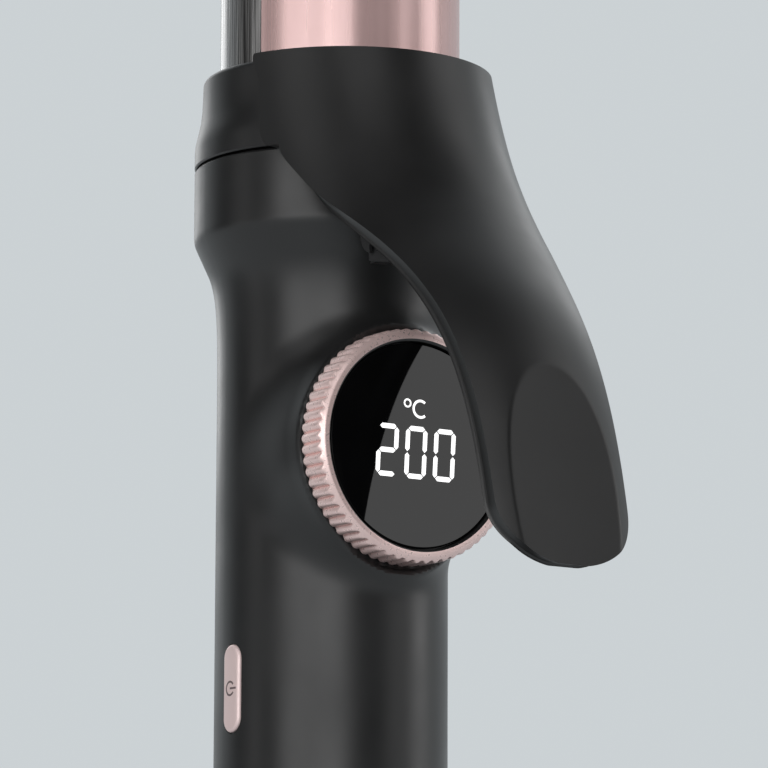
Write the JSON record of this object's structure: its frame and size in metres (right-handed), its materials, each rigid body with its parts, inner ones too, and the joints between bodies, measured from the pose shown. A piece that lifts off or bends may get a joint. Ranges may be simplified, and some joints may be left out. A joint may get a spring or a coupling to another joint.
{
  "type": "curling iron",
  "caption": "Hair curling iron with a heated barrel, a sprung half-round clip on a thumb lever, a turning temperature ring round a glass display, a side power button and a swivel cord outlet.",
  "frame": {"origin": "centre of the cord's outlet in the flat tail face, on the barrel's axis", "axes": "+Z along the barrel, from the tail to the cool tip; -Y towards the lever, the clip and the dial; -X towards the power button"},
  "size_m": [0.0398, 0.0766, 0.3126],
  "materials": {
    "charcoal_plastic": "soft-touch",
    "rose_metal": "polished rose gold",
    "barrel_coating": "hairline, gloss coated",
    "display_glass": "gloss black",
    "natural_plastic": "heat-resistant, as moulded",
    "black_plastic": "satin",
    "steel": "zinc plated",
    "copper": "bright",
    "board": "satin",
    "terminal": "satin",
    "capacitor": "satin",
    "wire_insulation": "matte",
    "ceramic": "fired",
    "aluminium": "extruded",
    "felt": "matte"
  },
  "bodies": {
    "handle": {"handle_shell": "charcoal_plastic", "tail_cap": "charcoal_plastic", "swivel_retainer": "natural_plastic", "tail_screws": "steel", "brush_holder": "natural_plastic", "contact_brushes": "copper", "supply_leads": "wire_insulation", "main_board": "board", "terminal_block": "terminal", "mains_capacitor": "capacitor", "choke_coil": "copper", "triac": "black_plastic", "board_fuse": "ceramic", "button_switch": "black_plastic", "ribbon_cable": "wire_insulation", "display_board": "board", "display_module": "black_plastic", "dial_hub": "charcoal_plastic", "dial_glass": "display_glass", "dial_seal": "felt", "dial_screws": "steel", "barrel_base": "natural_plastic", "base_screws": "steel", "collar_ring": "charcoal_plastic", "barrel_tube": "barrel_coating", "heat_spreaders": "aluminium", "heater_element": "ceramic", "thermistor": "copper", "thermal_fuse": "steel", "heater_leads": "wire_insulation", "tip_plug": "natural_plastic", "tip_cap": "charcoal_plastic", "tip_screw": "steel", "tip_disc": "charcoal_plastic", "hinge_block": "charcoal_plastic", "hinge_screws": "steel", "hinge_pin": "steel", "pin_clips": "steel", "clip_spring": "steel"},
    "clip_lever": {"lever": "charcoal_plastic", "lever_frame": "charcoal_plastic", "clip_plate": "rose_metal", "clip_screws": "steel"},
    "dial": {"dial_ring": "rose_metal"},
    "button": {"power_button": "rose_metal"},
    "swivel": {"swivel_hub": "charcoal_plastic", "contact_rings": "copper"}
  },
  "joints": [
    {"name": "clip_hinge", "type": "hinge", "parent": "handle", "child": "clip_lever", "pos_m": [0, -0.0225, 0.137], "axis": [1, 0, 0], "range_deg": [0, 28], "stiffness_Nm_per_rad": 0.35, "springref_deg": -34.38},
    {"name": "dial_turn", "type": "hinge", "parent": "handle", "child": "dial", "pos_m": [0, -0.0184, 0.1087], "axis": [0, -1, 0], "continuous": true},
    {"name": "button_press", "type": "slide", "parent": "handle", "child": "button", "axis": [1, 0, 0], "range_m": [0, 0.0007], "stiffness_N_per_m": 900, "springref_m": -0.0008},
    {"name": "cord_swivel", "type": "hinge", "parent": "handle", "child": "swivel", "pos_m": [0, 0, 0], "axis": [0, 0, 1], "continuous": true}
  ]
}
